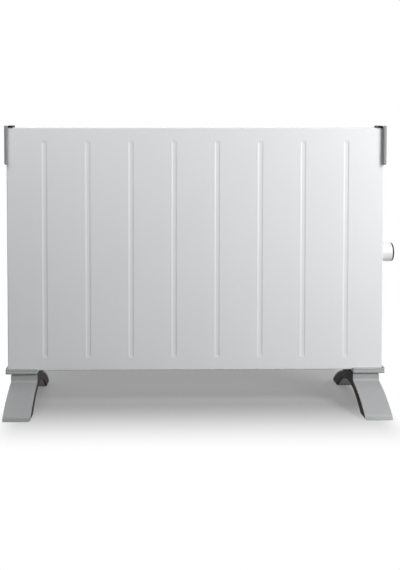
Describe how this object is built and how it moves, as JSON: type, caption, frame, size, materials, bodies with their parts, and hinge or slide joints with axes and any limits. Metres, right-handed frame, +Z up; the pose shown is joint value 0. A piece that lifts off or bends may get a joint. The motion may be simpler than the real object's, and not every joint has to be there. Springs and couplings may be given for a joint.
{
  "type": "panel convector heater",
  "caption": "Electric panel convector heater: shallow white steel casing with pressed grooves, grey bridge feet and corner caps, side thermostat knob and rocker switches.",
  "frame": {"origin": "on the floor, under the middle of the whole outline with the knob included", "axes": "+X towards the control side, +Y towards the wall behind the heater, +Z up; the grooved front faces -Y"},
  "size_m": [0.646, 0.208, 0.4643],
  "materials": {
    "white_steel": "white powder coat, satin",
    "grey_plastic": "mid grey moulded plastic, fine satin grain",
    "cap_plastic": "darker grey moulded plastic, satin",
    "dark_plastic": "near-black moulded plastic",
    "white_plastic": "white moulded plastic, semi-gloss",
    "zinc_steel": "bright zinc-plated steel",
    "aluminium": "plain extruded aluminium",
    "ceramic": "unglazed off-white ceramic",
    "sleeve_red": "red heat-proof sleeving",
    "sleeve_blue": "blue insulation",
    "sleeve_green": "green insulation with a yellow stripe"
  },
  "bodies": {
    "casing": {"front_panel": "white_steel", "rear_panel": "white_steel", "side_panel_left": "white_steel", "side_panel_right": "white_steel", "outlet_grille": "white_steel", "inlet_grille": "white_steel", "heat_shield": "zinc_steel", "control_baffle": "zinc_steel", "corner_cap_left": "cap_plastic", "corner_cap_right": "cap_plastic", "cap_clip_left": "dark_plastic", "cap_clip_right": "dark_plastic", "rear_screw_left_lower": "zinc_steel", "rear_screw_left_upper": "zinc_steel", "rear_screw_right_lower": "zinc_steel", "rear_screw_right_upper": "zinc_steel", "foot_left": "grey_plastic", "foot_right": "grey_plastic", "foot_cover_left": "dark_plastic", "foot_cover_right": "dark_plastic", "foot_screw_left_front": "zinc_steel", "foot_screw_left_rear": "zinc_steel", "foot_screw_right_front": "zinc_steel", "foot_screw_right_rear": "zinc_steel", "hanger_plate_left": "zinc_steel", "hanger_plate_right": "zinc_steel", "wall_spacer_left": "dark_plastic", "wall_spacer_right": "dark_plastic", "element_fins": "aluminium", "element_tube_upper": "zinc_steel", "element_tube_lower": "zinc_steel", "element_holder_left": "ceramic", "element_holder_right": "ceramic", "element_bracket_left": "zinc_steel", "element_bracket_right": "zinc_steel", "cutout_bracket": "zinc_steel", "thermal_cutout": "dark_plastic", "thermostat_body": "dark_plastic", "thermostat_nut": "zinc_steel", "dial_plate": "grey_plastic", "switch_housing_lower": "dark_plastic", "switch_housing_upper": "dark_plastic", "terminal_block": "ceramic", "earth_screw": "zinc_steel", "cord_gland": "dark_plastic", "wire_supply": "dark_plastic", "wire_switch_link": "dark_plastic", "wire_element_upper": "sleeve_red", "wire_element_lower": "sleeve_red", "wire_far_end": "sleeve_red", "wire_neutral": "sleeve_blue", "wire_earth": "sleeve_green"},
    "knob_group": {"thermostat_shaft": "zinc_steel", "knob": "white_plastic", "knob_ring": "dark_plastic", "knob_pointer": "dark_plastic"},
    "rocker_lower": {"switch_rocker_lower": "dark_plastic"},
    "rocker_upper": {"switch_rocker_upper": "dark_plastic"}
  },
  "joints": [
    {"name": "knob_turn", "type": "hinge", "parent": "casing", "child": "knob_group", "pos_m": [0.29995, 0, 0.2515], "axis": [-1, 0, 0], "range_deg": [0, 285]},
    {"name": "rocker_lower_tilt", "type": "hinge", "parent": "casing", "child": "rocker_lower", "pos_m": [0.29995, 0, 0.2995], "axis": [0, -1, 0], "range_deg": [0, 16]},
    {"name": "rocker_upper_tilt", "type": "hinge", "parent": "casing", "child": "rocker_upper", "pos_m": [0.29995, 0, 0.3315], "axis": [0, -1, 0], "range_deg": [0, 16]}
  ]
}
